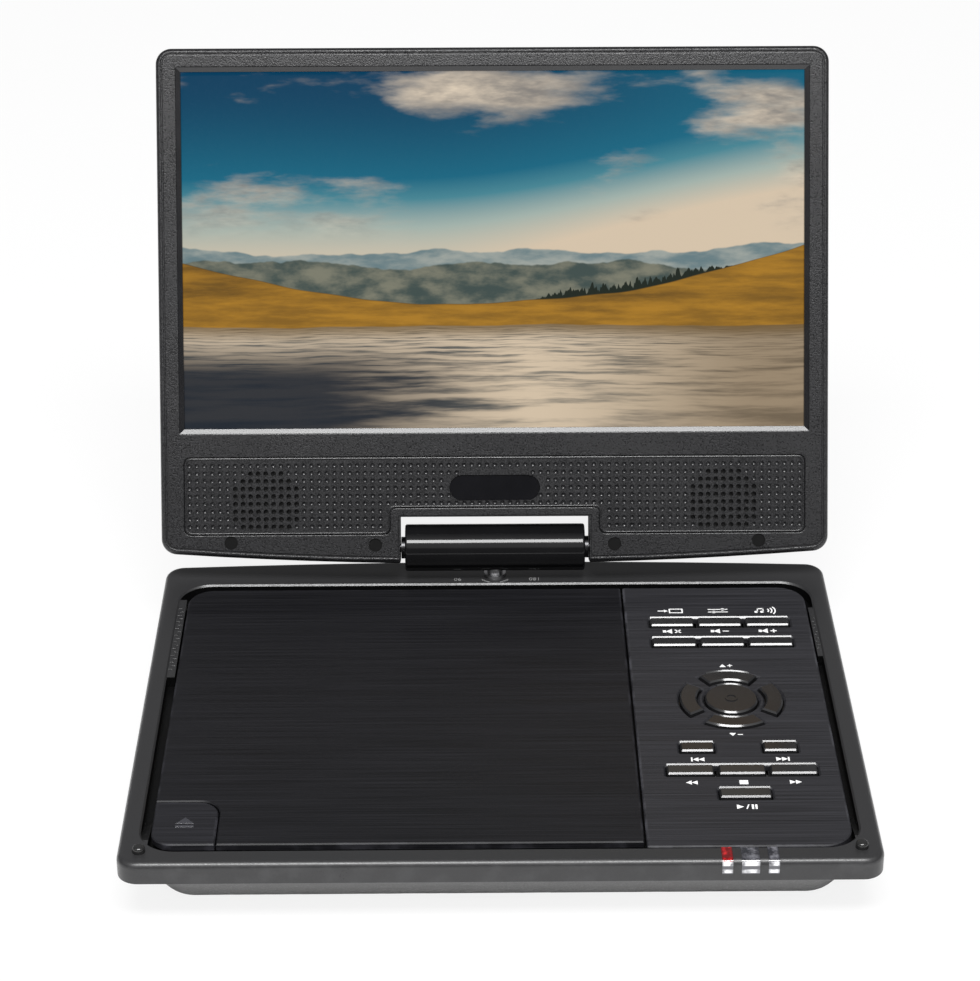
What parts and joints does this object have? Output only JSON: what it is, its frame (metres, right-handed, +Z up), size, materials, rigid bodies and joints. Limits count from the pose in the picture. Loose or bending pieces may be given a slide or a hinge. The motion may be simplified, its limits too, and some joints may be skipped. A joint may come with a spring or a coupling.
{
  "type": "portable disc player",
  "caption": "Portable disc player with a flat base, a hinged disc lid, keys and a leaning display on a swivel and fold hinge.",
  "frame": {"origin": "on the plane that the feet stand on, under the middle of the base between its front edge and the ends of its rear edge", "axes": "+X to the viewer's right, where the keys and the headphone socket are; +Y to the back, where the hinge is; +Z up"},
  "size_m": [0.212, 0.2299, 0.1785],
  "materials": {
    "case_black": "satin",
    "case_grey": "fine grain",
    "lid_brushed": "hairline brushed film",
    "key_black": "gloss",
    "rubber_black": "matt",
    "rubber_grey": "matt",
    "light_pipe": "clear, frosted",
    "well_black": "matt",
    "steel": "plain",
    "sheet_steel": "zinc plated",
    "post_chrome": "polished",
    "barrel_black": "high gloss",
    "screen_black": "fine grain",
    "window_black": "smoked, gloss",
    "display": "lit display",
    "backlight_white": "matt",
    "board_green": "solder mask",
    "cell_can": "wrapped",
    "socket_black": "matt",
    "pickup_body": "matt",
    "pickup_glass": "coated",
    "speaker_dark": "matt"
  },
  "bodies": {
    "base": {"base_upper_shell": "case_black", "base_lower_shell": "case_grey", "base_screws": "steel", "rubber_feet": "rubber_black", "front_bumpers": "rubber_black", "light_pipes": "light_pipe", "disc_well": "well_black", "control_panel": "lid_brushed", "key_mat": "rubber_grey", "key_board": "board_green", "main_board": "board_green", "battery_pack": "cell_can", "headphone_jack": "socket_black", "dc_inlet": "socket_black", "antenna_socket": "socket_black", "power_switch_body": "socket_black", "drive_chassis": "sheet_steel", "drive_dampers": "rubber_grey", "spindle_motor": "steel", "guide_rods": "steel", "sled_motor": "steel", "swivel_shaft": "post_chrome"},
    "disc_lid": {"disc_lid": "lid_brushed"},
    "open_button": {"open_button": "lid_brushed"},
    "lid_latch": {"lid_latch": "socket_black"},
    "turntable": {"turntable": "well_black"},
    "pickup": {"pickup_sled": "pickup_body", "pickup_lens": "pickup_glass"},
    "lead_screw": {"lead_screw": "steel"},
    "power_knob": {"power_switch_knob": "socket_black"},
    "mode_key": {"mode_key": "key_black"},
    "setup_key": {"setup_key": "key_black"},
    "audio_key": {"audio_key": "key_black"},
    "mute_key": {"mute_key": "key_black"},
    "volume_down_key": {"volume_down_key": "key_black"},
    "volume_up_key": {"volume_up_key": "key_black"},
    "channel_up_key": {"channel_up_key": "key_black"},
    "left_key": {"left_key": "key_black"},
    "ok_key": {"ok_key": "key_black"},
    "right_key": {"right_key": "key_black"},
    "channel_down_key": {"channel_down_key": "key_black"},
    "previous_key": {"previous_key": "key_black"},
    "next_key": {"next_key": "key_black"},
    "rewind_key": {"rewind_key": "key_black"},
    "stop_key": {"stop_key": "key_black"},
    "forward_key": {"forward_key": "key_black"},
    "play_key": {"play_key": "key_black"},
    "swivel": {"swivel_head": "barrel_black", "hinge_pins": "steel"},
    "screen": {"screen_bezel": "screen_black", "screen_back_cover": "screen_black", "speaker_grille": "screen_black", "ir_window": "window_black", "lcd_panel": "display", "lcd_backlight": "backlight_white", "lcd_driver_board": "board_green", "speakers": "speaker_dark", "hinge_brackets": "sheet_steel", "screen_screws": "steel", "screw_plugs": "rubber_black"}
  },
  "joints": [
    {"name": "swivel", "type": "hinge", "parent": "base", "child": "swivel", "pos_m": [0, 0.07615, 0.0318], "axis": [0, 0, 1], "range_deg": [-90, 180]},
    {"name": "fold", "type": "hinge", "parent": "swivel", "child": "screen", "pos_m": [0, 0.07615, 0.0318], "axis": [1, 0, 0], "range_deg": [-65.5, 114.5]},
    {"name": "lid_hinge", "type": "hinge", "parent": "base", "child": "disc_lid", "pos_m": [0, 0.06325, 0.0174], "axis": [-1, 0, 0], "range_deg": [0, 60]},
    {"name": "open_press", "type": "slide", "parent": "base", "child": "open_button", "axis": [0, 0, -1], "range_m": [0, 0.0012], "stiffness_N_per_m": 800, "springref_m": -0.0004},
    {"name": "latch_slide", "type": "slide", "parent": "base", "child": "lid_latch", "axis": [-1, 0, 0], "range_m": [0, 0.0012]},
    {"name": "disc_spin", "type": "hinge", "parent": "base", "child": "turntable", "pos_m": [-0.0285, -0.006, 0.0134], "axis": [0, 0, 1], "continuous": true},
    {"name": "pickup_travel", "type": "slide", "parent": "base", "child": "pickup", "axis": [0, 1, 0], "range_m": [0, 0.034]},
    {"name": "screw_turn", "type": "hinge", "parent": "base", "child": "lead_screw", "pos_m": [-0.0092, 0.035, 0.0085], "axis": [0, 1, 0], "range_deg": [0, 2041]},
    {"name": "power_slide", "type": "slide", "parent": "base", "child": "power_knob", "axis": [0, 1, 0], "range_m": [0, 0.003]},
    {"name": "mode_press", "type": "slide", "parent": "base", "child": "mode_key", "axis": [0, 0, -1], "range_m": [0, 0.0006], "stiffness_N_per_m": 1200, "springref_m": -0.0004},
    {"name": "setup_press", "type": "slide", "parent": "base", "child": "setup_key", "axis": [0, 0, -1], "range_m": [0, 0.0006], "stiffness_N_per_m": 1200, "springref_m": -0.0004},
    {"name": "audio_press", "type": "slide", "parent": "base", "child": "audio_key", "axis": [0, 0, -1], "range_m": [0, 0.0006], "stiffness_N_per_m": 1200, "springref_m": -0.0004},
    {"name": "mute_press", "type": "slide", "parent": "base", "child": "mute_key", "axis": [0, 0, -1], "range_m": [0, 0.0006], "stiffness_N_per_m": 1200, "springref_m": -0.0004},
    {"name": "volume_down_press", "type": "slide", "parent": "base", "child": "volume_down_key", "axis": [0, 0, -1], "range_m": [0, 0.0006], "stiffness_N_per_m": 1200, "springref_m": -0.0004},
    {"name": "volume_up_press", "type": "slide", "parent": "base", "child": "volume_up_key", "axis": [0, 0, -1], "range_m": [0, 0.0006], "stiffness_N_per_m": 1200, "springref_m": -0.0004},
    {"name": "channel_up_press", "type": "slide", "parent": "base", "child": "channel_up_key", "axis": [0, 0, -1], "range_m": [0, 0.0006], "stiffness_N_per_m": 1200, "springref_m": -0.0004},
    {"name": "left_press", "type": "slide", "parent": "base", "child": "left_key", "axis": [0, 0, -1], "range_m": [0, 0.0006], "stiffness_N_per_m": 1200, "springref_m": -0.0004},
    {"name": "ok_press", "type": "slide", "parent": "base", "child": "ok_key", "axis": [0, 0, -1], "range_m": [0, 0.0006], "stiffness_N_per_m": 1200, "springref_m": -0.0004},
    {"name": "right_press", "type": "slide", "parent": "base", "child": "right_key", "axis": [0, 0, -1], "range_m": [0, 0.0006], "stiffness_N_per_m": 1200, "springref_m": -0.0004},
    {"name": "channel_down_press", "type": "slide", "parent": "base", "child": "channel_down_key", "axis": [0, 0, -1], "range_m": [0, 0.0006], "stiffness_N_per_m": 1200, "springref_m": -0.0004},
    {"name": "previous_press", "type": "slide", "parent": "base", "child": "previous_key", "axis": [0, 0, -1], "range_m": [0, 0.0006], "stiffness_N_per_m": 1200, "springref_m": -0.0004},
    {"name": "next_press", "type": "slide", "parent": "base", "child": "next_key", "axis": [0, 0, -1], "range_m": [0, 0.0006], "stiffness_N_per_m": 1200, "springref_m": -0.0004},
    {"name": "rewind_press", "type": "slide", "parent": "base", "child": "rewind_key", "axis": [0, 0, -1], "range_m": [0, 0.0006], "stiffness_N_per_m": 1200, "springref_m": -0.0004},
    {"name": "stop_press", "type": "slide", "parent": "base", "child": "stop_key", "axis": [0, 0, -1], "range_m": [0, 0.0006], "stiffness_N_per_m": 1200, "springref_m": -0.0004},
    {"name": "forward_press", "type": "slide", "parent": "base", "child": "forward_key", "axis": [0, 0, -1], "range_m": [0, 0.0006], "stiffness_N_per_m": 1200, "springref_m": -0.0004},
    {"name": "play_press", "type": "slide", "parent": "base", "child": "play_key", "axis": [0, 0, -1], "range_m": [0, 0.0006], "stiffness_N_per_m": 1200, "springref_m": -0.0004}
  ],
  "couplings": [
    {"joint": "latch_slide", "follows": "open_press", "ratio": 1},
    {"joint": "screw_turn", "follows": "pickup_travel", "rad_per_m": 1047.2}
  ]
}
